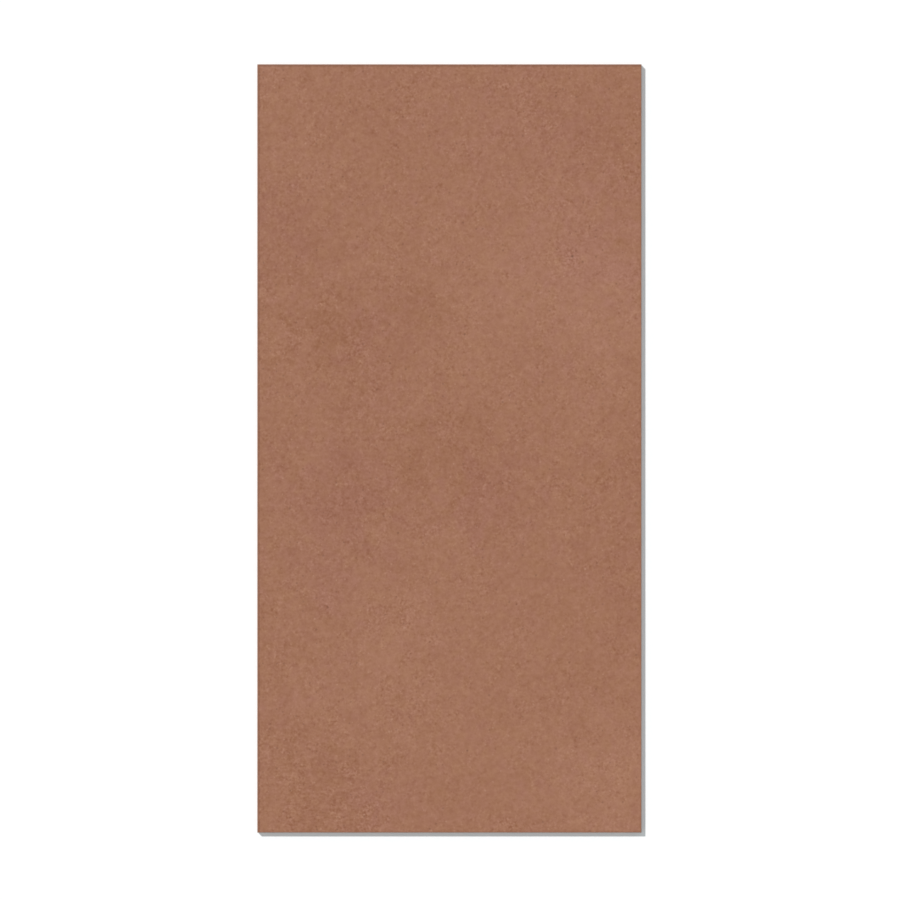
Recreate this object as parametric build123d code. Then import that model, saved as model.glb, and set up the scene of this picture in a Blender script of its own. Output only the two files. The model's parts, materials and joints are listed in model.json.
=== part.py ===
from build123d import *
import math
import os

# A matt ceramic tile for floors and walls, dry-pressed and fired in one piece, with its sides ground square.
# It lies face up: X runs across the width, Y along the length, and Z up from the back to the face.
# The origin is the middle of the back, on the plane of the rib crests that the tile rests on.
# Sizes are in millimetres and angles in degrees.

# Outline
WIDTH = 300.0
LENGTH = 600.0
THICKNESS = 9.0  # from the rib crests to the face

# Edges, ground after firing
FACE_ARRIS = 0.6  # leg of the 45 degree bevel round the face

# Bonding key on the back: straight ribs that cross, with a shallow drafted pocket in each square between them
RIB_PITCH = 25.0  # from the middle of one rib to the middle of the next, both ways
RIB_CREST = 3.0  # flat width on top of a rib
RIB_HEIGHT = 0.8  # from a pocket's floor to the rib crests
RIB_DRAFT = 35.0  # slope of a rib's flanks, from the pressing direction
LEAST_BORDER = 10.0  # narrowest plain border between the outer pockets and the ground sides


def ground_slab():
    """The pressed slab with its sides ground square and a bevel ground round its face."""
    slab = Box(WIDTH, LENGTH, THICKNESS, align=(Align.CENTER, Align.CENTER, Align.MIN))
    face = slab.faces().sort_by(Axis.Z)[-1]
    return chamfer(face.edges(), FACE_ARRIS)


def key_pocket():
    """One pocket of the bonding key: a square mouth on the back that narrows by the draft to its floor."""
    mouth = RIB_PITCH - RIB_CREST
    return extrude(Rectangle(mouth, mouth), amount=RIB_HEIGHT, taper=RIB_DRAFT)


def pockets_along(span):
    """How many pockets fit along a span, with a rib between each two and the border left at both ends."""
    return math.floor((span - 2 * LEAST_BORDER + RIB_CREST) / RIB_PITCH)


def bonding_key():
    """All the pockets, as many each way as the back has room for, centred on it."""
    pocket = key_pocket()
    grid = GridLocations(RIB_PITCH, RIB_PITCH, pockets_along(WIDTH), pockets_along(LENGTH))
    return [place * pocket for place in grid]


tile = ground_slab() - bonding_key()

os.makedirs("parts", exist_ok=True)
export_step(tile, "parts/tile.step")
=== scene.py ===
"""A matt terracotta-brown ceramic tile, lying face up on a white floor.

The tile is one closed mesh that stands for the solid "tile", in metres and in the solid's frame: X across the
width, Y along the length and Z up through the face. Its fired face is a height field with soft clouds, its
bevel and sides are ground, and its back carries the ribs and pockets of the bonding key.
"""

from __future__ import annotations

import json
import logging
import math
from dataclasses import dataclass, field
from enum import Enum, IntEnum

import bpy
import numpy as np
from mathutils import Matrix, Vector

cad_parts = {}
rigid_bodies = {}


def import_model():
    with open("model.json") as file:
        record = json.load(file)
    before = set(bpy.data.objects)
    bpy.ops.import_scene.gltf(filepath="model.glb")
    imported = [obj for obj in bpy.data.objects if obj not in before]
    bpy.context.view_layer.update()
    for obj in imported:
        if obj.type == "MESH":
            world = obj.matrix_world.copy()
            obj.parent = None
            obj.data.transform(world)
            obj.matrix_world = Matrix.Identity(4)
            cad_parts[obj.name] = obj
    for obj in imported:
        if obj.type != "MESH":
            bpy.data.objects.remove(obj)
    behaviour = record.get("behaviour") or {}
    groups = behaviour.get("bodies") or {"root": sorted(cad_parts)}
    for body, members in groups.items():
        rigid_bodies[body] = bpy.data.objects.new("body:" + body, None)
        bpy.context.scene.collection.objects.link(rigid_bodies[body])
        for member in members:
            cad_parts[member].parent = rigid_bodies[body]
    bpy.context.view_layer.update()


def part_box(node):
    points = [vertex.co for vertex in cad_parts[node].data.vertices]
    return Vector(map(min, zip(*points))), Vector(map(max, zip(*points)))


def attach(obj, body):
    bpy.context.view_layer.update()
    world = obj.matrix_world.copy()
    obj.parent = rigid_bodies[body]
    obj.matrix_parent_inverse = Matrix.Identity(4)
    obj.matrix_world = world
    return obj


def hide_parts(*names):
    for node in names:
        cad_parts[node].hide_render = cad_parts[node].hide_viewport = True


MM = 0.001
TILE_NODE = "tile"
BAKE_MAP = "OFBake"
SIDE_STRIPS = (2, 0, 2, 1)  # the strip of the map that each side lies in, in the order of Side
NOISE_MIDDLE = 0.5  # the middle of what a noise node gives
LEAST_CYCLES = 1e-6  # stands for no wave at all where a logarithm is taken
MIX_INPUTS = (0, 6, 7)  # a mix node's share and its two colours, among all its inputs
MIX_OUTPUT = 2  # its mixed colour, among all its outputs

log = logging.getLogger("ceramic_tile")

Triple = tuple[float, float, float]
Colour = Triple
Socket = bpy.types.NodeSocket


class Zone(IntEnum):
    """The tile's surfaces, numbered as their materials are on the mesh."""

    FACE = 0
    GROUND = 1
    BACK = 2


class Side(IntEnum):
    """The four ground sides, counterclockwise from above and starting at the front."""

    FRONT = 0
    RIGHT = 1
    REAR = 2
    LEFT = 3


class FaceValue(Enum):
    """Numbers that the mesh carries at the face's points, by their names there."""

    TONE = "tone"
    ROSE = "rose"
    OPENNESS = "openness"
    STREAKS = "streaks"
    RIMS = "rims"


class Spread(Enum):
    """How scattered spots are laid out: over a level plane, or all through the body."""

    LEVEL = "2D"
    THROUGH = "3D"


class Op(Enum):
    """The sums that a finish is worked out with, by their node's names."""

    SUBTRACT = "SUBTRACT"
    MULTIPLY = "MULTIPLY"
    MULTIPLY_ADD = "MULTIPLY_ADD"
    DIVIDE = "DIVIDE"
    POWER = "POWER"
    MAXIMUM = "MAXIMUM"
    LESS_THAN = "LESS_THAN"


class PlaceOp(Enum):
    """The sums that coordinates are worked out with, by their node's names."""

    ADD = "ADD"
    SUBTRACT = "SUBTRACT"
    MULTIPLY = "MULTIPLY"
    DISTANCE = "DISTANCE"


class Blend(Enum):
    """How two colours are put together: one over the other, or one tinting the other."""

    OVER = "MIX"
    TINT = "MULTIPLY"


@dataclass(frozen=True)
class Cloud:
    """One soft patch of the fired face, placed in millimetres from the face's middle.

    Its tone is 1 at the palest clay and -1 at the deepest, and rose turns it from ochre towards pink.
    """

    x: float
    y: float
    reach: float
    tone: float
    rose: float = 0.0


@dataclass(frozen=True)
class Ripple:
    """Random waves of about one length on the face, in millimetres, with the spread of what they change.

    They change its tone, its tint, and how strong its grain is.
    """

    length: float
    tone: float
    rose: float
    grain: float


@dataclass(frozen=True)
class Swell:
    """Random waves of the face's height, with about their length and their spread in millimetres."""

    length: float
    height: float


@dataclass(frozen=True)
class SkinPatch:
    """One patch of open skin with a stronger grain, or of close skin where its strength is below zero.

    It is placed in millimetres from the face's middle.
    """

    x: float
    y: float
    reach: float
    strength: float


@dataclass(frozen=True)
class Blemish:
    """One pit or speck of the face, in millimetres from its middle, and how far it takes its own clay."""

    x: float
    y: float
    radius: float
    strength: float


FACE_CLOUDS = (
    # Deep patches, from the top of the face to the bottom
    Cloud(56, 280, 16, -0.11, 1.3),
    Cloud(-58, 262, 22, -0.12),
    Cloud(113, 240, 24, -0.22, 0.3),
    Cloud(-70, 216, 16, -0.13),
    Cloud(-136, 180, 18, -0.24, 2.2),
    Cloud(-113, 128, 20, -0.19, 0.5),
    Cloud(-20, 112, 15, -0.21),
    Cloud(-98, 87, 17, -0.31, -0.6),
    Cloud(-66, 82, 26, -0.24, 0.5),
    Cloud(4, 24, 15, -0.13),
    Cloud(-8, -7, 20, -0.31, -0.4),
    Cloud(137, -7, 18, -0.24),
    Cloud(58, -16, 20, -0.13),
    Cloud(-16, -22, 14, -0.10),
    Cloud(24, -28, 17, -0.22, 0.4),
    Cloud(-86, -38, 26, -0.27, 2.8),
    Cloud(133, -90, 22, -0.24, 0.7),
    Cloud(-92, -128, 16, -0.10),
    Cloud(121, -167, 24, -0.12),
    Cloud(-138, -176, 18, -0.15),
    Cloud(-94, -246, 27, -0.23),
    # Pale patches, in the same order
    Cloud(-130, 286, 20, 0.14),
    Cloud(92, 282, 14, 0.10),
    Cloud(-98, 220, 14, 0.16),
    Cloud(63, 176, 22, 0.13),
    Cloud(-90, 165, 16, 0.13),
    Cloud(96, 134, 40, 0.25),
    Cloud(24, 126, 22, 0.15),
    Cloud(128, 94, 28, 0.21),
    Cloud(-138, 80, 16, 0.16),
    Cloud(-4, 76, 20, 0.12),
    Cloud(98, 12, 20, 0.10),
    Cloud(-60, -160, 48, 0.12),
    Cloud(-14, -172, 18, 0.10),
    Cloud(-104, -194, 16, 0.10),
    Cloud(-132, -206, 14, 0.12),
    Cloud(-58, -215, 20, 0.14),
    Cloud(86, -256, 15, 0.16),
    Cloud(132, -262, 36, 0.30),
    Cloud(136, -286, 18, 0.10),
    # Pink patches that are neither deep nor pale, in the same order
    Cloud(-44, 277, 15, 0.0, 1.0),
    Cloud(19, 240, 15, 0.0, 1.4),
    Cloud(56, 240, 13, 0.0, 1.0),
    Cloud(93, 240, 17, 0.0, 1.6),
    Cloud(22, 204, 17, 0.0, 0.9),
    Cloud(130, 200, 14, 0.0, 1.2),
    Cloud(112, 150, 25, 0.0, 2.6),
    Cloud(-60, 92, 13, 0.0, 1.8),
    Cloud(80, 68, 15, 0.0, 1.0),
    Cloud(-50, 38, 14, 0.0, 1.0),
    Cloud(52, -22, 14, 0.0, 1.6),
    Cloud(18, -54, 17, 0.0, 2.4),
    Cloud(-93, -102, 15, 0.0, 2.0),
    Cloud(-124, -200, 11, 0.0, 1.0),
    Cloud(-56, -276, 13, 0.0, 2.2),
)

FACE_RIPPLES = (
    Ripple(7.0, 0.062, 0.30, 0.18),
    Ripple(14.0, 0.048, 0.36, 0.14),
    Ripple(28.0, 0.038, 0.30, 0.16),
    Ripple(57.0, 0.032, 0.16, 0.11),
    Ripple(114.0, 0.024, 0.08, 0.06),
)

SKIN_PATCHES = (
    # Open skin, from the top of the face to the bottom
    SkinPatch(66, 278, 20, 0.38),
    SkinPatch(-121, 212, 13, 0.38),
    SkinPatch(144, 212, 10, 0.38),
    SkinPatch(96, 149, 7, 0.60),
    SkinPatch(-109, 98, 16, 0.22),
    SkinPatch(74, 87, 10, 0.45),
    SkinPatch(-66, 75, 13, 0.52),
    SkinPatch(-5, 15, 9, 0.45),
    SkinPatch(16, -2, 9, 0.38),
    SkinPatch(24, -34, 10, 0.30),
    SkinPatch(-82, -42, 16, 0.38),
    SkinPatch(-27, -58, 14, 0.30),
    SkinPatch(110, -93, 8, 0.52),
    SkinPatch(-98, -120, 10, 0.30),
    SkinPatch(-35, -138, 8, 0.52),
    SkinPatch(-47, -220, 8, 0.38),
    SkinPatch(-127, -234, 13, 0.60),
    SkinPatch(-76, -262, 12, 0.52),
    SkinPatch(-121, -285, 14, 0.60),
    SkinPatch(-66, -289, 14, 0.52),
    # Close skin, in the same order
    SkinPatch(-97, 161, 18, -0.30),
    SkinPatch(43, 114, 20, -0.30),
    SkinPatch(66, -105, 22, -0.30),
    SkinPatch(90, -151, 22, -0.30),
    SkinPatch(35, -253, 24, -0.30),
)

# Pits and specks that stand out, from the top of the face to the bottom
FACE_PITS = (
    Blemish(-111, 211, 1.2, 0.6),
    Blemish(-110, 194, 1.2, 0.6),
    Blemish(96, 150, 1.5, 1.0),
    Blemish(12, 89, 1.2, 0.7),
    Blemish(-34, 62, 1.2, 0.6),
    Blemish(-40, -66, 1.2, 0.7),
    Blemish(-95, -124, 1.2, 0.7),
    Blemish(14, -236, 1.2, 0.7),
)

FACE_SPECKS = (
    Blemish(106, -94, 1.4, 0.4),
    Blemish(-35, -140, 1.3, 0.4),
    Blemish(-47, -221, 1.5, 0.4),
    Blemish(-77, -262, 1.4, 0.4),
)
# Height of the face: the skin's own grain, which open skin strengthens, and then what the press left
SKIN_SWELL = Swell(5.0, 0.008)
PRESS_SWELLS = (Swell(12.0, 0.008), Swell(40.0, 0.010), Swell(150.0, 0.016))


def bell(x: np.ndarray, y: np.ndarray, patch: Cloud | SkinPatch) -> np.ndarray:
    """How much of a soft patch each point has: 1 in its middle, and a bell of the distance over its reach."""
    squared = ((x - patch.x) ** 2 + (y - patch.y) ** 2) / patch.reach**2
    return np.exp(-0.5 * squared)


@dataclass
class FacePattern:
    """What firing left on the face, as whole arrays on the face's grid of points.

    Attributes:
        x, y: the grid's points, in millimetres from the face's middle, as rows along X.
        pitch: the grid's step in millimetres.
        seed: the start of the random draws.
        wave_spread: how far a set of waves spreads about its length, in octaves.
        wander, wander_length: how far the clouds' outlines wander, and over what length, in millimetres.
        fray, fray_length: the same for finer bends of the outlines.
        worn: the streaky patch of skin near the front left corner.
        cloud_relief: how much higher a cloud lies for each unit of its tone, in millimetres.
        deepest_relief: the most that the face may lie below its flat plane, in millimetres.
    """

    x: np.ndarray
    y: np.ndarray
    pitch: float
    seed: int = 41
    wave_spread: float = 0.55
    wander: float = 11.0
    wander_length: float = 34.0
    fray: float = 4.5
    fray_length: float = 13.0
    worn: SkinPatch = SkinPatch(-100, -262, 30, 1.0)
    cloud_relief: float = 0.04
    deepest_relief: float = 0.16

    def __post_init__(self) -> None:
        """Draws every set of waves once, in a fixed order."""
        self.random = np.random.default_rng(self.seed)
        self.wander_x = self.waves(self.wander_length)
        self.wander_y = self.waves(self.wander_length)
        self.tone_waves = [self.waves(ripple.length) for ripple in FACE_RIPPLES]
        self.rose_waves = [self.waves(ripple.length) for ripple in FACE_RIPPLES]
        self.grain_waves = [self.waves(ripple.length) for ripple in FACE_RIPPLES]
        self.skin_waves = self.waves(SKIN_SWELL.length)
        self.press_waves = [self.waves(swell.length) for swell in PRESS_SWELLS]
        self.fray_x = self.waves(self.fray_length)
        self.fray_y = self.waves(self.fray_length)

    def waves(self, length: float) -> np.ndarray:
        """Random waves of about one length, with a mean of zero and a spread of one.

        White noise is weighted in its spectrum by a bell over the logarithm of frequency, round the wave's.

        Args:
            length: the wavelength in millimetres.

        Returns:
            The waves' height at each point of the grid.
        """
        rows, columns = self.x.shape
        noise = np.fft.rfft2(self.random.standard_normal((rows, columns)))
        across = np.fft.rfftfreq(columns, self.pitch)[None, :]
        along = np.fft.fftfreq(rows, self.pitch)[:, None]
        octaves = np.log2(np.maximum(np.hypot(across, along) * length, LEAST_CYCLES))
        shaped = np.fft.irfft2(noise * np.exp(-0.5 * (octaves / self.wave_spread) ** 2), (rows, columns))
        return (shaped - shaped.mean()) / shaped.std()

    def patches(self, value: FaceValue) -> np.ndarray:
        """The sum of the clouds, each a bell of its distance on points that wander a little.

        Args:
            value: what to add up, the clouds' tone or their rose.

        Returns:
            The sum at each point of the grid.
        """
        x = self.x + self.wander * self.wander_x + self.fray * self.fray_x
        y = self.y + self.wander * self.wander_y + self.fray * self.fray_y
        total = np.zeros_like(self.x)
        for cloud in FACE_CLOUDS:
            total += getattr(cloud, value.value) * bell(x, y, cloud)
        return total

    def tone(self) -> np.ndarray:
        """How pale the clay is, within -1 and 1: the clouds plus ripples of every length."""
        ripples = sum(ripple.tone * wave for ripple, wave in zip(FACE_RIPPLES, self.tone_waves))
        return self.patches(FaceValue.TONE) + ripples

    def rose(self) -> np.ndarray:
        """How far the clay turns to pink, about -2 to 4: the clouds plus ripples of every length."""
        ripples = sum(ripple.rose * wave for ripple, wave in zip(FACE_RIPPLES, self.rose_waves))
        return self.patches(FaceValue.ROSE) + ripples

    def openness(self) -> np.ndarray:
        """How strong the grain is, about 1: the exponential of the skin's patches plus ripples.

        Returns:
            The strength at each point of the grid.
        """
        strength = sum(ripple.grain * wave for ripple, wave in zip(FACE_RIPPLES, self.grain_waves))
        for patch in SKIN_PATCHES:
            strength += patch.strength * bell(self.x, self.y, patch)
        return np.exp(strength)

    def streaks(self) -> np.ndarray:
        """How streaky the skin is, from 0 to 1: a bell of the distance from the worn patch."""
        return self.worn.strength * bell(self.x, self.y, self.worn)

    def rims(self) -> np.ndarray:
        """How far in each point is from the rear or the left rim, whichever is nearer, in millimetres; it
        places the face's painted rim shade.
        """
        return np.minimum(self.y.max() - self.y, self.x - self.x.min())

    def values(self) -> dict[FaceValue, np.ndarray]:
        """Every number that the face's points carry, by its name."""
        return {
            FaceValue.TONE: self.tone(),
            FaceValue.ROSE: self.rose(),
            FaceValue.OPENNESS: self.openness(),
            FaceValue.STREAKS: self.streaks(),
            FaceValue.RIMS: self.rims(),
        }

    def relief(self) -> np.ndarray:
        """Height of the face below its flat plane, in millimetres and never above zero.

        It adds the skin's grain times its openness, the press's waves, and a little for each cloud's tone.

        Returns:
            The height at each point of the grid.
        """
        skin = SKIN_SWELL.height * self.skin_waves * self.openness()
        press = sum(swell.height * wave for swell, wave in zip(PRESS_SWELLS, self.press_waves))
        height = skin + press + self.cloud_relief * self.patches(FaceValue.TONE)
        return np.maximum(height - height.max(), -self.deepest_relief)


@dataclass(frozen=True)
class BondingKey:
    """The back's crossing ribs and drafted pockets, in millimetres and degrees, as the solid has them.

    Attributes:
        pitch, crest, height, draft, least_border: the solid's own sizes.
        softening: about the radius that the press leaves on a pocket's edges.
        grid_places: where a pocket's grid lines lie, in widths of its flank in from its mouth.
    """

    pitch: float = 25.0
    crest: float = 3.0
    height: float = 0.8
    draft: float = 35.0
    least_border: float = 10.0
    softening: float = 0.22
    grid_places: tuple[float, ...] = (-0.35, 0.2, 0.8, 1.5, 2.4)

    def count(self, span: float) -> int:
        """How many pockets fit along a span, with a rib between each two and the border at both ends."""
        return math.floor((span - 2 * self.least_border + self.crest) / self.pitch)

    def depth(self, place: np.ndarray, span: float) -> np.ndarray:
        """How far a line of points lies into its pocket, as the pocket's wall alone would allow.

        The distance to the nearest wall, inside the row of pockets, rises at the draft up to the floor.

        Args:
            place: points along the span, from its middle.
            span: the tile's width or length.

        Returns:
            The depth above the rib crests, below zero on a rib or on the border.
        """
        last = (self.count(span) - 1) / 2
        row = np.clip(np.round(place / self.pitch - last) + last, -last, last)
        inside = (self.pitch - self.crest) / 2 - np.abs(place - row * self.pitch)
        return inside / math.tan(math.radians(self.draft))

    def lines(self, span: float, edge: float) -> np.ndarray:
        """Where the back's grid has its lines along a span.

        Each pocket has lines just outside its mouth, down its drafted flank and past the flank's foot.

        Args:
            span: the tile's width or length.
            edge: how far from the span's ends the outermost lines are.

        Returns:
            The lines' places in rising order, from the middle of the span.
        """
        count = self.count(span)
        flank = self.height * math.tan(math.radians(self.draft))
        one_side = np.array(self.grid_places) * flank - (self.pitch - self.crest) / 2
        pocket = np.concatenate([one_side, -one_side[::-1]])
        middles = (np.arange(count) - (count - 1) / 2) * self.pitch
        pockets = (middles[:, None] + pocket[None, :]).ravel()
        rim = span / 2 - edge
        border = np.array([rim, (rim + pockets[-1]) / 2])
        return np.concatenate([-border, pockets, border[::-1]])

    def softly_above_zero(self, value: np.ndarray | float) -> np.ndarray:
        """A number kept above zero with a soft bend: the logarithm of one plus its exponential."""
        return np.logaddexp(0.0, value / self.softening) * self.softening

    def rise(self, x: np.ndarray, y: np.ndarray, width: float, length: float) -> np.ndarray:
        """Height of the back above the rib crests: the least of both walls and the floor, softly joined.

        Args:
            x, y: the back's points, from its middle.
            width, length: the tile's size.

        Returns:
            The height at each point, from 0 on a crest to the pocket's full height.
        """
        walls = np.minimum(self.depth(x, width), self.depth(y, length))
        low = self.softly_above_zero(walls)
        high = self.height - self.softly_above_zero(self.height - low)
        crest = self.height - self.softly_above_zero(self.height)
        return np.clip(high - crest, 0.0, self.height)


@dataclass(frozen=True)
class Loop:
    """A closed loop of a mesh's points: their numbers, and their places round it.

    Places rise from 0 to below 4, a side to a unit, counterclockwise from above, from the front left corner.
    """

    numbers: np.ndarray
    places: np.ndarray


@dataclass
class MeshParts:
    """A mesh being put together: blocks of points, then quads and triangles that name them."""

    points: list[np.ndarray] = field(default_factory=list)
    faces: list[np.ndarray] = field(default_factory=list)
    zones: list[np.ndarray] = field(default_factory=list)
    total: int = 0

    def add_points(self, block: np.ndarray) -> np.ndarray:
        """Adds a block of points.

        Args:
            block: the points in millimetres, with X, Y and Z last.

        Returns:
            Their numbers, in the block's own layout.
        """
        count = block[..., 0].size
        self.points.append(block.reshape(-1, 3) * MM)
        numbers = np.arange(self.total, self.total + count).reshape(block.shape[:-1])
        self.total += count
        return numbers

    def add_faces(self, corners: np.ndarray, zone: Zone) -> None:
        """Adds faces given as rows of three or four point numbers, all in one zone."""
        self.faces.append(corners)
        self.zones.append(np.full(len(corners), int(zone)))

    def add_grid(self, numbers: np.ndarray, zone: Zone, upward: bool) -> None:
        """Adds the quads of a grid of points.

        Args:
            numbers: the points' numbers, in rows that run along X and follow each other along Y.
            zone: the quads' zone.
            upward: whether they face up or down.
        """
        front_left, front_right = numbers[:-1, :-1], numbers[:-1, 1:]
        rear_left, rear_right = numbers[1:, :-1], numbers[1:, 1:]
        order = [front_left, front_right, rear_right, rear_left]
        if not upward:
            order.reverse()
        self.add_faces(np.stack([corner.ravel() for corner in order], axis=1), zone)

    def add_band(self, upper: np.ndarray, lower: np.ndarray, zone: Zone) -> None:
        """Adds the quads between two closed loops with as many points, the upper one inside or above."""
        corners = (upper, lower, np.roll(lower, -1), np.roll(upper, -1))
        self.add_faces(np.stack(corners, axis=1), zone)

    def add_zip(self, upper: Loop, lower: Loop, zone: Zone) -> None:
        """Adds triangles between two closed loops with different numbers of points.

        The places of both loops' next points are merged in order, and each one closes a triangle with the
        last point reached on the other loop.

        Args:
            upper, lower: the loops, the upper one above.
            zone: the triangles' zone.
        """
        full_turn = [4.0]
        steps = np.concatenate([upper.places[1:], full_turn, lower.places[1:], full_turn])
        order = np.argsort(steps, kind="stable")
        is_upper = order < len(upper.numbers)
        on_upper = np.cumsum(is_upper) - is_upper
        on_lower = np.cumsum(~is_upper) - ~is_upper
        top = np.append(upper.numbers, upper.numbers[0])
        bottom = np.append(lower.numbers, lower.numbers[0])
        next_top = top[np.minimum(on_upper + 1, len(upper.numbers))]
        next_bottom = bottom[np.minimum(on_lower + 1, len(lower.numbers))]
        third = np.where(is_upper, next_top, next_bottom)
        self.add_faces(np.stack([top[on_upper], bottom[on_lower], third], axis=1), zone)

    def mesh(self, name: str) -> bpy.types.Mesh:
        """Writes the points and faces into a new mesh, with each face's zone as its material number.

        Args:
            name: the mesh's name.

        Returns:
            The mesh.
        """
        points = np.concatenate(self.points).astype(np.float32)
        sizes = np.concatenate([np.full(len(block), block.shape[1]) for block in self.faces])
        corners = np.concatenate([block.ravel() for block in self.faces]).astype(np.int32)
        starts = np.concatenate([[0], np.cumsum(sizes)[:-1]]).astype(np.int32)
        made = bpy.data.meshes.new(name)
        made.vertices.add(len(points))
        made.vertices.foreach_set("co", points.ravel())
        made.loops.add(len(corners))
        made.loops.foreach_set("vertex_index", corners)
        made.polygons.add(len(sizes))
        made.polygons.foreach_set("loop_start", starts)
        made.polygons.foreach_set("material_index", np.concatenate(self.zones).astype(np.int32))
        made.update(calc_edges=True)
        made.validate()
        return made


def rim_of(numbers: np.ndarray) -> np.ndarray:
    """The border of a grid of point numbers, counterclockwise from above and from its front left corner."""
    return np.concatenate([numbers[0, :-1], numbers[:-1, -1], numbers[-1, :0:-1], numbers[:0:-1, 0]])


def places_round(share_x: np.ndarray, share_y: np.ndarray) -> np.ndarray:
    """Each rim point's place round a rectangle, a side to a unit.

    Args:
        share_x, share_y: where its grid's lines are along both sides, as shares from 0 to 1.

    Returns:
        The places, counterclockwise from the front left corner.
    """
    back_x = 1.0 - share_x[::-1]
    back_y = 1.0 - share_y[::-1]
    return np.concatenate([share_x[:-1], 1.0 + share_y[:-1], 2.0 + back_x[:-1], 3.0 + back_y[:-1]])


def rectangle_loop(half_x: float, half_y: float, height: float, places: np.ndarray) -> np.ndarray:
    """Points on a level rectangle at given places round it.

    Args:
        half_x, half_y: half the rectangle's sides.
        height: its height.
        places: each point's place, a side to a unit, counterclockwise from the front left corner.

    Returns:
        The points as rows of X, Y and Z.
    """
    corner_x = np.array([-1.0, 1.0, 1.0, -1.0, -1.0]) * half_x
    corner_y = np.array([-1.0, -1.0, 1.0, 1.0, -1.0]) * half_y
    corners = np.arange(5.0)
    x = np.interp(places, corners, corner_x)
    y = np.interp(places, corners, corner_y)
    return np.stack([x, y, np.full_like(x, height)], axis=1)


@dataclass(frozen=True)
class Grain:
    """Random grain of a finish.

    Attributes:
        size: its cells' size in millimetres.
        tone: how much of it goes into the clay's tone.
        height: how much of it goes into the surface's height.
        octaves: how many finer layers it has, each half the size of the last.
        roughness: how strong each finer layer is.
        swirl: how far its cells are bent into strokes.
        scale: below 1 where its cells are drawn out along an axis.
    """

    size: float
    tone: float
    height: float = 0.0
    octaves: float = 1.0
    roughness: float = 0.5
    swirl: float = 0.0
    scale: Triple = (1.0, 1.0, 1.0)


@dataclass(frozen=True)
class Scatter:
    """Round spots scattered over a finish, at random.

    Attributes:
        spacing: the random cells' size in millimetres, with room for one spot each.
        largest: the largest spot's radius in millimetres.
        strength: a spot's value in its middle.
        share: the share of the cells that has a spot.
        open_share: what each unit of the skin's openness adds to that share.
        ragged: how far the spots' outlines wander, in millimetres.
        move: an offset, so that two sets of spots fall in different places.
        spread: whether the cells fill a level plane or the whole body.
    """

    spacing: float
    largest: float
    strength: float
    share: float
    open_share: float = 0.0
    ragged: float = 0.0
    move: Triple = (0.0, 0.0, 0.0)
    spread: Spread = Spread.LEVEL


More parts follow.
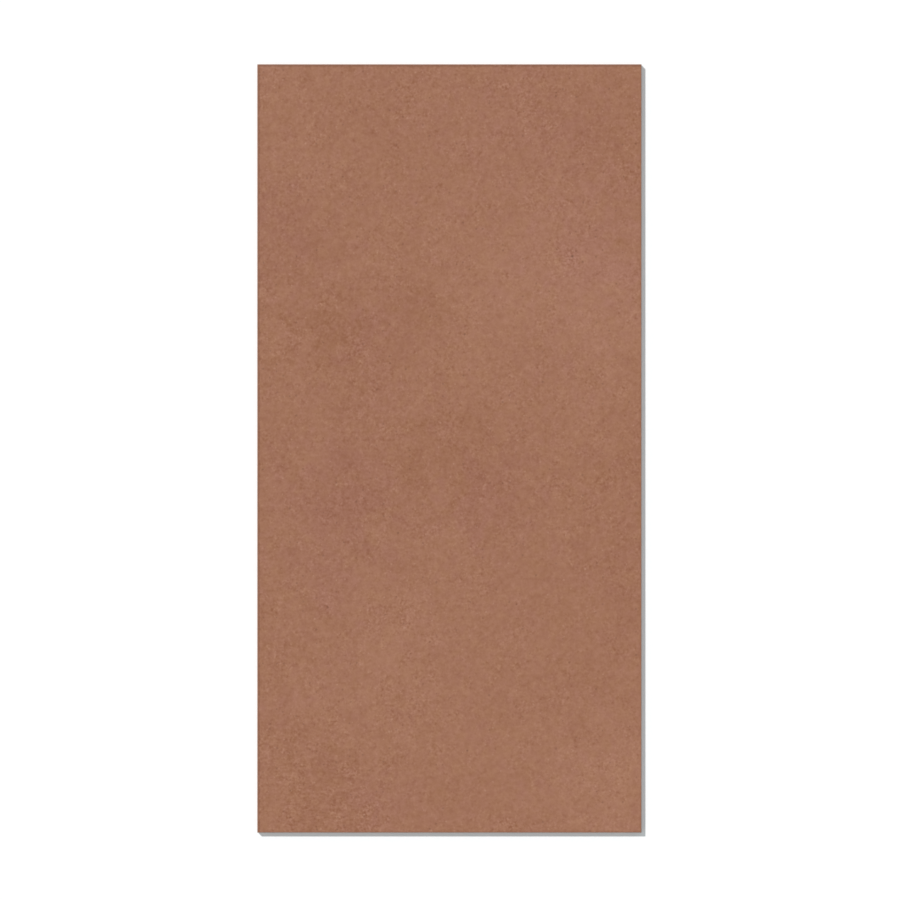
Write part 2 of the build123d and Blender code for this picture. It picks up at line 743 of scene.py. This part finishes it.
@dataclass
class NodeSheet:
    """A material's node tree, with short ways to add what the tile's finishes are made of.

    Attributes:
        name: the material's name.
        smallest_spot: the smallest of a set of scattered spots, as a share of the largest.
        outline_cells: the size of what makes an outline wander, as a share of the largest spot.
    """

    name: str
    smallest_spot: float = 0.35
    outline_cells: float = 1.6

    def __post_init__(self) -> None:
        """Makes the material, and its tree with the shader, its output and the object's own coordinates."""
        self.material = bpy.data.materials.new(self.name)
        self.material.use_nodes = True
        self.tree = self.material.node_tree
        self.tree.nodes.clear()
        self.shader = self.node("BsdfPrincipled")
        self.node("OutputMaterial", surface=self.shader.outputs["BSDF"])
        self.place = self.node("TexCoord").outputs["Object"]

    def put(self, value: Socket | float | Triple, socket: Socket) -> None:
        """Links a socket to an input, or sets the input to a plain number, place or colour.

        Args:
            value: the socket or the plain value.
            socket: the input.
        """
        if isinstance(value, bpy.types.NodeSocket):
            self.tree.links.new(value, socket)
        elif socket.type == "RGBA":
            socket.default_value = (*value, 1.0)
        else:
            socket.default_value = value

    def fill(self, node: bpy.types.Node, values: dict[str, Socket | float | Triple]) -> None:
        """Puts values into a node's inputs.

        Args:
            node: the node.
            values: what goes into each input, by its name in small letters with low lines for spaces.
        """
        inputs = {socket.name.lower().replace(" ", "_"): socket for socket in node.inputs}
        for name, value in values.items():
            self.put(value, inputs[name])

    def node(self, kind: str, **values: Socket | float | Triple) -> bpy.types.Node:
        """Adds a node and puts values into its inputs.

        Args:
            kind: the node's kind.
            values: what goes into each input, named as for fill.

        Returns:
            The node.
        """
        made = self.tree.nodes.new(f"ShaderNode{kind}")
        self.fill(made, values)
        return made

    def finish(self, **values: Socket | float | Triple) -> None:
        """Puts values into the shader's inputs."""
        self.fill(self.shader, values)

    def math(self, operation: Op, *values: Socket | float, clamp: bool = False) -> Socket:
        """One sum of numbers.

        Args:
            operation: which sum.
            values: its numbers, in the sum's own order.
            clamp: whether the result is kept from 0 to 1.

        Returns:
            The result.
        """
        node = self.node("Math")
        node.operation = operation.value
        node.use_clamp = clamp
        for value, socket in zip(values, node.inputs):
            self.put(value, socket)
        return node.outputs["Value"]

    def share(self, value: Socket, slope: float, middle: float) -> Socket:
        """A share from 0 to 1: a number times a slope, plus what it is at zero."""
        return self.math(Op.MULTIPLY_ADD, value, slope, middle, clamp=True)

    def total(self, *parts: tuple[Socket, float], start: Socket | float = 0.0) -> Socket:
        """Numbers added up onto a start, each times its own weight.

        Args:
            parts: each number with its weight.
            start: what they are added to.

        Returns:
            The total.
        """
        result = start
        for part, weight in parts:
            result = self.math(Op.MULTIPLY_ADD, part, weight, result)
        return result

    def peaked(self, value: Socket, steady: float, spike: float) -> Socket:
        """A number with stronger extremes: itself times a steady share plus its square times a spike."""
        squared = self.math(Op.MULTIPLY, value, value)
        return self.math(Op.MULTIPLY, value, self.math(Op.MULTIPLY_ADD, squared, spike, steady))

    def attribute(self, value: FaceValue) -> Socket:
        """A number that the mesh carries at its points.

        Args:
            value: which number.

        Returns:
            The number, evened out between the points.
        """
        node = self.node("Attribute")
        node.attribute_name = value.value
        return node.outputs["Fac"]

    def height_above_floor(self) -> Socket:
        """The object's own Z."""
        return self.node("SeparateXYZ", vector=self.place).outputs["Z"]

    def stretched(self, scale: Triple, move: Triple = (0.0, 0.0, 0.0)) -> Socket:
        """The object's coordinates, scaled and moved."""
        return self.node("Mapping", vector=self.place, scale=scale, location=move).outputs["Vector"]

    def noise(self, grain: Grain, place: Socket) -> bpy.types.Node:
        """A noise node with the cells of a grain, at given coordinates."""
        return self.node(
            "TexNoise",
            vector=place,
            scale=1.0 / (grain.size * MM),
            detail=grain.octaves,
            roughness=grain.roughness,
            distortion=grain.swirl,
        )

    def grain(self, grain: Grain) -> Socket:
        """Random grain about zero: its noise less the noise's middle value."""
        node = self.noise(grain, self.stretched(grain.scale))
        return self.math(Op.SUBTRACT, node.outputs["Fac"], NOISE_MIDDLE)

    def place_math(self, operation: PlaceOp, first: Socket, second: Socket | Triple) -> bpy.types.Node:
        """One sum of two sets of coordinates.

        Args:
            operation: which sum.
            first, second: the coordinates.

        Returns:
            The sum's node, which gives a place or a distance.
        """
        node = self.node("VectorMath")
        node.operation = operation.value
        for value, socket in zip((first, second), node.inputs):
            self.put(value, socket)
        return node

    def wandering(self, place: Socket, size: float, distance: float) -> Socket:
        """Coordinates moved at random, by noise less its middle, times a distance.

        Args:
            place: the coordinates.
            size: the noise's cells in millimetres.
            distance: what the noise's whole range stands for, in millimetres.

        Returns:
            The moved coordinates.
        """
        drawn = self.noise(Grain(size, 0.0, octaves=0.0), place).outputs["Color"]
        centred = self.place_math(PlaceOp.SUBTRACT, drawn, (NOISE_MIDDLE,) * 3).outputs["Vector"]
        moved = self.place_math(PlaceOp.MULTIPLY, centred, (distance * MM,) * 3).outputs["Vector"]
        return self.place_math(PlaceOp.ADD, place, moved).outputs["Vector"]

    def spots(self, scatter: Scatter, openness: Socket | None = None) -> Socket:
        """Scattered spots as one number, a spot's strength in its middle and 0 outside it.

        Each random cell has one point, and a share of the cells has a spot round it. A spot falls off as the
        square of the distance, up to a radius that is drawn between the smallest and the largest.

        Args:
            scatter: the spots' sizes and number.
            openness: the skin's openness, where more open skin has more spots.

        Returns:
            The spots.
        """
        place = self.stretched((1.0, 1.0, 1.0), scatter.move)
        if scatter.ragged > 0.0:
            place = self.wandering(place, self.outline_cells * scatter.largest, scatter.ragged)
        node = self.node("TexVoronoi", vector=place, scale=1.0 / (scatter.spacing * MM))
        node.voronoi_dimensions = scatter.spread.value
        drawn = self.node("SeparateColor", color=node.outputs["Color"])
        largest = scatter.largest / scatter.spacing
        smallest = self.smallest_spot * largest
        radius = self.math(Op.MULTIPLY_ADD, drawn.outputs["Green"], largest - smallest, smallest)
        reach = self.math(Op.DIVIDE, node.outputs["Distance"], radius)
        spot = self.math(Op.SUBTRACT, 1.0, self.math(Op.POWER, reach, 2.0), clamp=True)
        share = scatter.share
        if openness is not None:
            share = self.share(openness, scatter.open_share, scatter.share)
        chosen = self.math(Op.LESS_THAN, drawn.outputs["Red"], share)
        return self.math(Op.MULTIPLY, self.math(Op.MULTIPLY, spot, chosen), scatter.strength)

    def placed(self, first: Socket, blemishes: tuple[Blemish, ...]) -> Socket:
        """A number plus spots, each falling evenly from its strength in the middle to 0 at its radius.

        Args:
            first: the number.
            blemishes: the spots.

        Returns:
            The sum.
        """
        plan = self.stretched((1.0, 1.0, 0.0))
        result = first
        for blemish in blemishes:
            middle = (blemish.x * MM, blemish.y * MM, 0.0)
            distance = self.place_math(PlaceOp.DISTANCE, plan, middle).outputs["Value"]
            inside = self.share(distance, -1.0 / (blemish.radius * MM), 1.0)
            result = self.math(Op.MULTIPLY_ADD, inside, blemish.strength, result)
        return result

    def blend(
        self,
        share: Socket | float,
        first: Socket | Colour,
        second: Socket | Colour,
        way: Blend = Blend.OVER,
    ) -> Socket:
        """Two colours put together.

        Args:
            share: how much of the second there is, from 0 to 1.
            first, second: the colours.
            way: whether the second lies over the first or tints it.

        Returns:
            The colour.
        """
        node = self.node("Mix")
        node.data_type = "RGBA"
        node.blend_type = way.value
        for value, number in zip((share, first, second), MIX_INPUTS):
            self.put(value, node.inputs[number])
        return node.outputs[MIX_OUTPUT]

    def bump(self, height: Socket, distance: float) -> Socket:
        """A bent normal from a height, where a height of 1 stands for a distance in millimetres."""
        return self.node("Bump", strength=1.0, distance=distance * MM, height=height).outputs["Normal"]


@dataclass(frozen=True)
class Finish:
    """What the tile's matt finishes share.

    Attributes:
        deep, pale: the clay where its tone is lowest and highest.
        tone_slope, tone_middle: how fast the clay pales with its tone, and the pale clay's share at zero.
        depth: what a height of 1 stands for, in millimetres.
        gloss_level: how much light the surface throws back.
        roughness, tone_sheen: how rough the surface is at a tone of zero, and what the tone adds to that.
    """

    deep: Colour
    pale: Colour
    tone_slope: float
    tone_middle: float
    depth: float
    gloss_level: float
    roughness: float
    tone_sheen: float

    def clay(self, sheet: NodeSheet, tone: Socket) -> Socket:
        """The clay's colour: deep clay blended into pale clay by the tone."""
        return sheet.blend(sheet.share(tone, self.tone_slope, self.tone_middle), self.deep, self.pale)

    def dressed(self, sheet: NodeSheet, colour: Socket, tone: Socket, height: Socket) -> bpy.types.Material:
        """Puts a colour, a roughness that follows the tone, and a normal from the height into the shader.

        Args:
            sheet: the finish's node tree.
            colour: its colour.
            tone: its tone.
            height: its height, in units of its depth.

        Returns:
            The finished material.
        """
        sheet.finish(
            base_color=colour,
            roughness=sheet.share(tone, self.tone_sheen, self.roughness),
            normal=sheet.bump(height, self.depth),
            specular_ior_level=self.gloss_level,
        )
        return sheet.material


@dataclass(frozen=True)
class FiredSkin(Finish):
    """The face's matt fired skin: clouded clay with a fine grain, dark pits and pale specks, and painted
    shade along its rear and left rims.

    Attributes:
        pit_and_painted_shade_clay, speck_clay: the clay that pits and the painted rim shade take, and the one
            that specks take.
        ochre_cast, rose_cast: what tints the clay, from the least rose to the most.
        cast_slope, cast_middle: how fast the tint turns with the rose, and its share at zero.
        coarse, fine, strokes, dust: the skin's grain; the strokes are in the streaky corner only.
        steady, spike: how much of the fine grain stays as it is, and how much its extremes gain.
        pits, specks: what is scattered over the face beside the ones that are listed.
        painted_rim_shade: how far the painted shade along the rear and left rims takes the pits' clay.
        rim_reach, rim_fade: how far in that shade reaches, and its fading part, in millimetres.
        rim_wander: how far the shade's edge wanders with the coarse grain, in millimetres.
        pit_depth: how far a pit goes down, in the units of the grain's height.
    """

    deep: Colour = (0.2765, 0.1120, 0.0582)
    pale: Colour = (0.3951, 0.1886, 0.1166)
    tone_slope: float = 0.5
    tone_middle: float = 0.5
    pit_and_painted_shade_clay: Colour = (0.156, 0.065, 0.037)
    speck_clay: Colour = (0.578, 0.342, 0.242)
    ochre_cast: Colour = (1.00, 1.019, 0.951)
    rose_cast: Colour = (1.00, 0.983, 1.075)
    cast_slope: float = 0.28
    cast_middle: float = 0.345
    coarse: Grain = Grain(4.2, tone=0.80, height=1.9, octaves=0.0)
    fine: Grain = Grain(1.9, tone=1.92, roughness=0.33, swirl=0.3)
    strokes: Grain = Grain(1.6, tone=1.3, swirl=0.3, scale=(0.32, 1.0, 1.0))
    dust: Grain = Grain(0.42, tone=0.2, height=2.0)
    steady: float = 0.78
    spike: float = 4.5
    pits: Scatter = Scatter(5.2, 1.15, strength=0.42, share=-0.08, open_share=0.16, ragged=0.6)
    specks: Scatter = Scatter(
        6.1, 1.05, strength=0.22, share=-0.12, open_share=0.30, ragged=0.6, move=(0.137, 0.071, 0.0)
    )
    painted_rim_shade: float = 0.46
    rim_reach: float = 1.7
    rim_fade: float = 0.8
    rim_wander: float = 1.2
    pit_depth: float = 5.2
    depth: float = 0.038
    gloss_level: float = 0.3
    roughness: float = 0.66
    tone_sheen: float = -0.10

    def material(self) -> bpy.types.Material:
        """Tone is the clouds plus grain, and it blends deep clay into pale clay, tinted by the clouds.

        Pits, and the rear and left rims where shade is painted, then take a darker clay, and specks a paler
        one.

        Returns:
            The face's material.
        """
        sheet = NodeSheet("fired_skin")
        openness = sheet.attribute(FaceValue.OPENNESS)
        coarse = sheet.grain(self.coarse)
        dust = sheet.grain(self.dust)
        streaks = sheet.math(Op.MULTIPLY, sheet.grain(self.strokes), sheet.attribute(FaceValue.STREAKS))
        fine = sheet.peaked(sheet.grain(self.fine), self.steady, self.spike)
        skin = sheet.math(
            Op.MULTIPLY, openness, sheet.total((fine, self.fine.tone), (streaks, self.strokes.tone))
        )
        clouds = sheet.attribute(FaceValue.TONE)
        tone = sheet.total((coarse, self.coarse.tone), (skin, 1.0), (dust, self.dust.tone), start=clouds)
        cast_share = sheet.share(sheet.attribute(FaceValue.ROSE), self.cast_slope, self.cast_middle)
        cast = sheet.blend(cast_share, self.ochre_cast, self.rose_cast)
        tinted = sheet.blend(1.0, self.clay(sheet, tone), cast, Blend.TINT)
        pits = sheet.placed(sheet.spots(self.pits, openness), FACE_PITS)
        specks = sheet.placed(sheet.spots(self.specks, openness), FACE_SPECKS)
        # Painted shade: the rear and left rims are darkened in the colour, standing in for shade along those
        # edges.
        inward = sheet.total((coarse, self.rim_wander), start=sheet.attribute(FaceValue.RIMS))
        rims = sheet.share(inward, -1.0 / self.rim_fade, self.rim_reach / self.rim_fade)
        shade = sheet.total((rims, self.painted_rim_shade), start=pits)
        shaded = sheet.blend(shade, tinted, self.pit_and_painted_shade_clay)
        height = sheet.total(
            (coarse, self.coarse.height), (dust, self.dust.height), (pits, -self.pit_depth), start=skin
        )
        return self.dressed(sheet, sheet.blend(specks, shaded, self.speck_clay), tone, height)


@dataclass(frozen=True)
class GroundEdge(Finish):
    """The bevel and the four sides, ground after firing: the bare body with pores and long grinding marks.

    Attributes:
        marks: the grinding marks, drawn out level along the sides.
        grain, patches: the body's own grain, and broader patches.
        pores, specks: dark pores and pale grains that the wheel has opened.
        pore_depth: how far a pore goes down, in the units of the marks' height.
    """

    deep: Colour = (0.272, 0.123, 0.075)
    pale: Colour = (0.396, 0.206, 0.139)
    tone_slope: float = 0.55
    tone_middle: float = 0.47
    marks: Grain = Grain(0.35, tone=1.5, height=1.0, scale=(0.02, 0.02, 1.0))
    grain: Grain = Grain(0.9, tone=1.5, height=0.7, octaves=2.0, roughness=0.6)
    patches: Grain = Grain(14.0, tone=1.1, octaves=2.0)
    pores: Scatter = Scatter(
        1.6, 0.34, strength=1.0, share=0.35, move=(0.0, 0.0, 0.031), spread=Spread.THROUGH
    )
    specks: Scatter = Scatter(
        2.3, 0.42, strength=0.8, share=0.30, move=(0.017, 0.029, 0.053), spread=Spread.THROUGH
    )
    pore_depth: float = 0.9
    depth: float = 0.05
    gloss_level: float = 0.3
    roughness: float = 0.74
    tone_sheen: float = 0.05

    def material(self) -> bpy.types.Material:
        """Tone adds marks, grain and patches, less the pores and plus the specks; it blends the body.

        Returns:
            The bevel's and the sides' material.
        """
        sheet = NodeSheet("ground_edge")
        marks = sheet.grain(self.marks)
        grain = sheet.grain(self.grain)
        pores = sheet.spots(self.pores)
        tone = sheet.total(
            (sheet.grain(self.patches), self.patches.tone),
            (marks, self.marks.tone),
            (grain, self.grain.tone),
            (pores, -1.0),
            (sheet.spots(self.specks), 1.0),
        )
        height = sheet.total(
            (marks, self.marks.height), (grain, self.grain.height), (pores, -self.pore_depth)
        )
        return self.dressed(sheet, self.clay(sheet, tone), tone, height)


@dataclass(frozen=True)
class PressedBack(Finish):
    """The unglazed back: coarse pressed clay, with pale kiln wash left on the rib crests.

    Attributes:
        kiln_wash: the wash's colour.
        grain, patches: the clay's coarse grain, and broader patches.
        pores: dark pores.
        smears: patches of wash, drawn out along Y, the way that the tile goes through the kiln.
        wash_slope, wash_middle: how fast the wash covers with its tone, and its share at zero.
        wash_rise: how far up a rib's flank the wash reaches, in millimetres.
        grain_wash, patch_wash: how much the grain and the patches change the wash.
        pore_depth: how far a pore goes down, in the units of the grain's height.
    """

    deep: Colour = (0.262, 0.121, 0.076)
    pale: Colour = (0.392, 0.204, 0.138)
    kiln_wash: Colour = (0.560, 0.452, 0.385)
    tone_slope: float = 0.55
    tone_middle: float = 0.5
    grain: Grain = Grain(1.3, tone=1.9, height=1.0, octaves=2.0, roughness=0.6)
    patches: Grain = Grain(30.0, tone=1.2, octaves=2.0)
    pores: Scatter = Scatter(4.4, 0.7, strength=0.9, share=0.32, ragged=0.4)
    smears: Grain = Grain(11.0, tone=2.0, octaves=2.0, roughness=0.6, scale=(1.0, 0.35, 1.0))
    wash_slope: float = 0.6
    wash_middle: float = 0.20
    wash_rise: float = 0.35
    grain_wash: float = 1.6
    patch_wash: float = 1.2
    pore_depth: float = 0.8
    depth: float = 0.16
    gloss_level: float = 0.25
    roughness: float = 0.84
    tone_sheen: float = 0.03

    def material(self) -> bpy.types.Material:
        """Grain blends two clays; wash lies in patches on the crests, which are where Z is near zero.

        Returns:
            The back's material.
        """
        sheet = NodeSheet("pressed_back")
        grain = sheet.grain(self.grain)
        patches = sheet.grain(self.patches)
        pores = sheet.spots(self.pores)
        tone = sheet.total((patches, self.patches.tone), (grain, self.grain.tone), (pores, -1.0))
        crest = sheet.share(sheet.height_above_floor(), -1.0 / (self.wash_rise * MM), 1.0)
        dusting = sheet.total(
            (sheet.grain(self.smears), self.smears.tone), (grain, self.grain_wash), (patches, self.patch_wash)
        )
        wash = sheet.math(Op.MULTIPLY, sheet.share(dusting, self.wash_slope, self.wash_middle), crest)
        height = sheet.total((grain, self.grain.height), (pores, -self.pore_depth))
        colour = sheet.blend(wash, self.clay(sheet, tone), self.kiln_wash)
        return self.dressed(sheet, colour, tone, height)


def in_scene(name: str, data: bpy.types.ID) -> bpy.types.Object:
    """Puts a new object with its data into the scene, at the origin.

    Args:
        name: the object's name.
        data: its mesh, lamp or camera.

    Returns:
        The object.
    """
    made = bpy.data.objects.new(name, data)
    bpy.context.scene.collection.objects.link(made)
    return made


@dataclass
class CeramicTile:
    """The tile: one closed mesh with a fired face, ground bevel and sides, and a keyed back.

    Attributes:
        width, length, thickness: the solid's size in millimetres.
        bevel: leg of the 45 degree bevel round the face, in millimetres.
        bevel_insets, bevel_drops: loops round the worn bevel, as shares of its leg in and down.
        back_break: how far the back's edge is worn off, in millimetres.
        face_pitch: about the step of the face's grid, in millimetres.
        map_gap: the gap between two pieces of the tile's map, in millimetres.
        level_facing: the least upward part of a facing, or downward one, that counts as face or back.
        sharp_angle: the least angle in degrees that is shaded as an edge.
        key: the ribs and pockets of the back.
    """

    width: float
    length: float
    thickness: float
    bevel: float = 0.6
    bevel_insets: tuple[float, ...] = (0.72, 0.28, 0.07, 0.0)
    bevel_drops: tuple[float, ...] = (0.22, 0.66, 0.93, 1.15)
    back_break: float = 0.15
    face_pitch: float = 1.7
    map_gap: float = 3.0
    level_facing: float = 0.5
    sharp_angle: float = 38.0
    key: BondingKey = BondingKey()

    def face_grid(self) -> tuple[np.ndarray, np.ndarray, float]:
        """The face's points in plan inside the bevel, evenly spaced.

        Returns:
            Their X and Y as rows along X, and their step, in millimetres.
        """
        half_x = self.width / 2 - self.bevel
        half_y = self.length / 2 - self.bevel
        x = np.linspace(-half_x, half_x, round(2 * half_x / self.face_pitch) + 1)
        y = np.linspace(-half_y, half_y, round(2 * half_y / self.face_pitch) + 1)
        grid_x, grid_y = np.meshgrid(x, y)
        return grid_x, grid_y, float(x[1] - x[0])

    def bevel_rings(self, places: np.ndarray) -> list[np.ndarray]:
        """Loops of points down the bevel and onto the sides, from just outside the face.

        The loops follow the bevel's line at 45 degrees, and bow in at its two worn arrises.
        """
        return [
            rectangle_loop(
                self.width / 2 - inset * self.bevel,
                self.length / 2 - inset * self.bevel,
                self.thickness - drop * self.bevel,
                places,
            )
            for inset, drop in zip(self.bevel_insets, self.bevel_drops)
        ]

    def shape(self, pattern: FacePattern) -> bpy.types.Mesh:
        """Puts the face, bevel, sides and back together as one closed mesh in metres.

        Args:
            pattern: the face's grid and its relief.

        Returns:
            The mesh, whose points start with the face's.
        """
        parts = MeshParts()
        face_z = self.thickness + pattern.relief()
        face = parts.add_points(np.stack([pattern.x, pattern.y, face_z], axis=-1))
        parts.add_grid(face, Zone.FACE, upward=True)
        rows, columns = pattern.x.shape
        face_places = places_round(np.linspace(0.0, 1.0, columns), np.linspace(0.0, 1.0, rows))
        upper = rim_of(face)
        for ring in self.bevel_rings(face_places):
            lower = parts.add_points(ring)
            parts.add_band(upper, lower, Zone.GROUND)
            upper = lower
        line_x = self.key.lines(self.width, self.back_break)
        line_y = self.key.lines(self.length, self.back_break)
        back_places = places_round((line_x / line_x[-1] + 1) / 2, (line_y / line_y[-1] + 1) / 2)
        foot = parts.add_points(rectangle_loop(self.width / 2, self.length / 2, self.back_break, back_places))
        parts.add_zip(Loop(upper, face_places), Loop(foot, back_places), Zone.GROUND)
        back_x, back_y = np.meshgrid(line_x, line_y)
        back_z = self.key.rise(back_x, back_y, self.width, self.length)
        back = parts.add_points(np.stack([back_x, back_y, back_z], axis=-1))
        parts.add_band(foot, rim_of(back), Zone.BACK)
        parts.add_grid(back, Zone.BACK, upward=False)
        return parts.mesh("ceramic_tile")

    def carry(self, mesh: bpy.types.Mesh, value: FaceValue, numbers: np.ndarray) -> None:
        """Writes a number at the face's points, which are the mesh's first ones, and zero elsewhere.

        Args:
            mesh: the tile's mesh.
            value: which number.
            numbers: what it is at each point of the face's grid.
        """
        values = np.zeros(len(mesh.vertices), np.float32)
        values[: numbers.size] = numbers.ravel()
        mesh.attributes.new(value.value, "FLOAT", "POINT").data.foreach_set("value", values)

    def corners_of(self, mesh: bpy.types.Mesh) -> tuple[np.ndarray, np.ndarray]:
        """Reads the corners of all the faces of a mesh.

        Args:
            mesh: the tile's mesh.

        Returns:
            Each corner's point in millimetres, and which way its face points, as rows of X, Y and Z.
        """
        numbers = np.empty(len(mesh.loops), np.int32)
        mesh.loops.foreach_get("vertex_index", numbers)
        points = np.empty(len(mesh.vertices) * 3, np.float32)
        mesh.vertices.foreach_get("co", points)
        sizes = np.empty(len(mesh.polygons), np.int32)
        mesh.polygons.foreach_get("loop_total", sizes)
        facing = np.empty(len(mesh.polygons) * 3, np.float32)
        mesh.polygons.foreach_get("normal", facing)
        return points.reshape(-1, 3)[numbers] / MM, np.repeat(facing.reshape(-1, 3), sizes, axis=0)

    def lay_flat(self, mesh: bpy.types.Mesh) -> None:
        """Gives the mesh a map, with the face and the back side by side in plan and the sides as thin strips.

        The right and left sides have a strip each, and the front and rear ones share a third.

        Args:
            mesh: the tile's mesh.
        """
        points, facing = self.corners_of(mesh)
        x, y, z = points.T
        facing_x, facing_y, facing_z = facing.T
        lengthways = np.where(facing_x > 0, Side.RIGHT, Side.LEFT)
        crossways = np.where(facing_y > 0, Side.REAR, Side.FRONT)
        is_lengthways = np.abs(facing_x) > np.abs(facing_y)
        side = np.where(is_lengthways, lengthways, crossways)
        strip = np.choose(side, SIDE_STRIPS)
        strip_width = self.thickness + self.map_gap
        strips_start = 2 * self.width + 3 * self.map_gap
        along = np.where(is_lengthways, y + self.length / 2, x + self.width / 2)
        along = along + np.where(side == Side.REAR, self.width + self.map_gap, 0.0)
        is_face = facing_z > self.level_facing
        is_back = facing_z < -self.level_facing
        face_x = x + self.width / 2
        back_x = self.width + self.map_gap + self.width / 2 - x
        map_x = np.select([is_face, is_back], [face_x, back_x], strips_start + strip * strip_width + z)
        map_y = np.where(is_face | is_back, y + self.length / 2, along)
        whole = strips_start + (max(SIDE_STRIPS) + 1) * strip_width + self.map_gap
        flat = (np.stack([map_x, map_y], axis=1) + self.map_gap) / whole
        mesh.uv_layers.new(name=BAKE_MAP).data.foreach_set("uv", flat.astype(np.float32).ravel())

    def build(self) -> bpy.types.Object:
        """Shapes the mesh, gives it its numbers, map and finishes, and puts it in place of the solid.

        Returns:
            The tile.
        """
        pattern = FacePattern(*self.face_grid())
        mesh = self.shape(pattern)
        for value, numbers in pattern.values().items():
            self.carry(mesh, value, numbers)
        self.lay_flat(mesh)
        for finish in (FiredSkin(), GroundEdge(), PressedBack()):
            mesh.materials.append(finish.material())
        mesh.shade_smooth()
        mesh.set_sharp_from_angle(angle=math.radians(self.sharp_angle))
        tile = in_scene("ceramic_tile", mesh)
        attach(tile, "root")
        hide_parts(TILE_NODE)
        return tile


@dataclass(frozen=True)
class Studio:
    """A white floor, a low fill from all round, a hard lamp from the upper left, and a camera overhead.

    Attributes:
        floor_size: the floor's side in metres.
        floor_white: the floor's own white.
        floor_lift: light that the floor adds where it is seen, which makes it white and its shadow pale.
        fill: the level of the light from all round.
        lamp: the level of the lamp's light on a level surface.
        lamp_width: the lamp's width as seen from the tile, in degrees.
        shadow_right, shadow_down: how far the tile's shadow reaches on the floor, in millimetres.
        lens, sensor: the camera's focal length and width in millimetres.
        picture_pixels: the picture's side in pixels.
        tile_pixels: the tile's width in the picture, in pixels.
        tile_left_of_middle, tile_above_middle: where the tile's middle is in the picture, in pixels.
        far_clip: how far the camera sees, in metres.
    """

    floor_size: float = 12.0
    floor_white: float = 0.97
    floor_lift: Colour = (0.080, 0.115, 0.125)
    fill: float = 0.40
    lamp: float = 0.58
    lamp_width: float = 1.2
    shadow_right: float = 3.60
    shadow_down: float = 3.75
    lens: float = 300.0
    sensor: float = 36.0
    picture_pixels: float = 900.0
    tile_pixels: float = 384.2
    tile_left_of_middle: float = 0.61
    tile_above_middle: float = 1.55
    far_clip: float = 50.0

    def where_seen(self, tree: bpy.types.NodeTree) -> Socket:
        """1 where the camera, a mirror or a glass sees a surface, and 0 where it only lights others.

        Args:
            tree: the node tree that asks.

        Returns:
            The 1 or 0: the largest of the three kinds of ray.
        """
        ray = tree.nodes.new("ShaderNodeLightPath")
        seen = ray.outputs["Is Camera Ray"]
        for kind in ("Is Glossy Ray", "Is Transmission Ray"):
            either = tree.nodes.new("ShaderNodeMath")
            either.operation = Op.MAXIMUM.value
            tree.links.new(seen, either.inputs[0])
            tree.links.new(ray.outputs[kind], either.inputs[1])
            seen = either.outputs["Value"]
        return seen

    def floor(self) -> bpy.types.Object:
        """A level white square under the tile.

        Returns:
            The floor.
        """
        corners = rectangle_loop(self.floor_size / 2, self.floor_size / 2, 0.0, np.arange(4.0))
        mesh = bpy.data.meshes.new("floor")
        mesh.from_pydata(corners.tolist(), [], [(0, 1, 2, 3)])
        sheet = NodeSheet("white_floor")
        sheet.finish(
            base_color=(self.floor_white,) * 3,
            roughness=1.0,
            specular_ior_level=0.0,
            emission_color=self.floor_lift,
            emission_strength=self.where_seen(sheet.tree),
        )
        mesh.materials.append(sheet.material)
        floor = in_scene("floor", mesh)
        return floor

    def surroundings(self) -> None:
        """A white background where it is seen or mirrored, and the fill's level where it lights a surface."""
        world = bpy.data.worlds.new("studio")
        bpy.context.scene.world = world
        world.use_nodes = True
        tree = world.node_tree
        background = tree.nodes["Background"]
        background.inputs["Color"].default_value = (1.0, 1.0, 1.0, 1.0)
        level = tree.nodes.new("ShaderNodeMapRange")
        level.inputs["To Min"].default_value = self.fill
        level.inputs["To Max"].default_value = 1.0
        tree.links.new(self.where_seen(tree), level.inputs["Value"])
        tree.links.new(level.outputs["Result"], background.inputs["Strength"])

    def lamps(self, thickness: float) -> None:
        """A far lamp whose slant throws the tile's shadow as far to the right and down as it reaches.

        Args:
            thickness: the tile's thickness in millimetres, which throws the shadow.
        """
        light = bpy.data.lights.new("key_lamp", "SUN")
        tilt = math.atan2(math.hypot(self.shadow_right, self.shadow_down), thickness)
        light.energy = self.lamp * math.pi / math.cos(tilt)
        light.angle = math.radians(self.lamp_width)
        lamp = in_scene("key_lamp", light)
        lamp.rotation_euler = (0.0, -tilt, -math.atan2(self.shadow_down, self.shadow_right))

    def camera(self, tile_width: float, face_height: float) -> None:
        """A camera straight above, far enough for the tile to be as wide in the picture as it should be.

        Args:
            tile_width: the tile's width in millimetres.
            face_height: the face's height above the floor in millimetres.
        """
        pixel = tile_width / self.tile_pixels
        data = bpy.data.cameras.new("camera")
        data.lens = self.lens
        data.sensor_width = self.sensor
        data.clip_end = self.far_clip
        camera = in_scene("camera", data)
        distance = self.picture_pixels * pixel * self.lens / self.sensor
        camera.location = (
            self.tile_left_of_middle * pixel * MM,
            -self.tile_above_middle * pixel * MM,
            (face_height + distance) * MM,
        )
        bpy.context.scene.camera = camera


def main() -> None:
    """Loads the solid's frame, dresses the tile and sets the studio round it."""
    logging.basicConfig(level=logging.INFO, format="%(name)s: %(message)s")
    bpy.ops.object.select_all(action="SELECT")
    bpy.ops.object.delete()
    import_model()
    low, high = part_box(TILE_NODE)
    width, length, thickness = (float(side) / MM for side in high - low)
    tile = CeramicTile(width, length, thickness).build()
    log.info("%s: %d points, %d faces", tile.name, len(tile.data.vertices), len(tile.data.polygons))
    studio = Studio()
    floor = studio.floor()
    log.info("%s: %.0f m square", floor.name, studio.floor_size)
    studio.surroundings()
    studio.lamps(thickness)
    studio.camera(width, thickness)
    bpy.context.scene.view_settings.view_transform = "Standard"


if __name__ == "__main__":
    main()
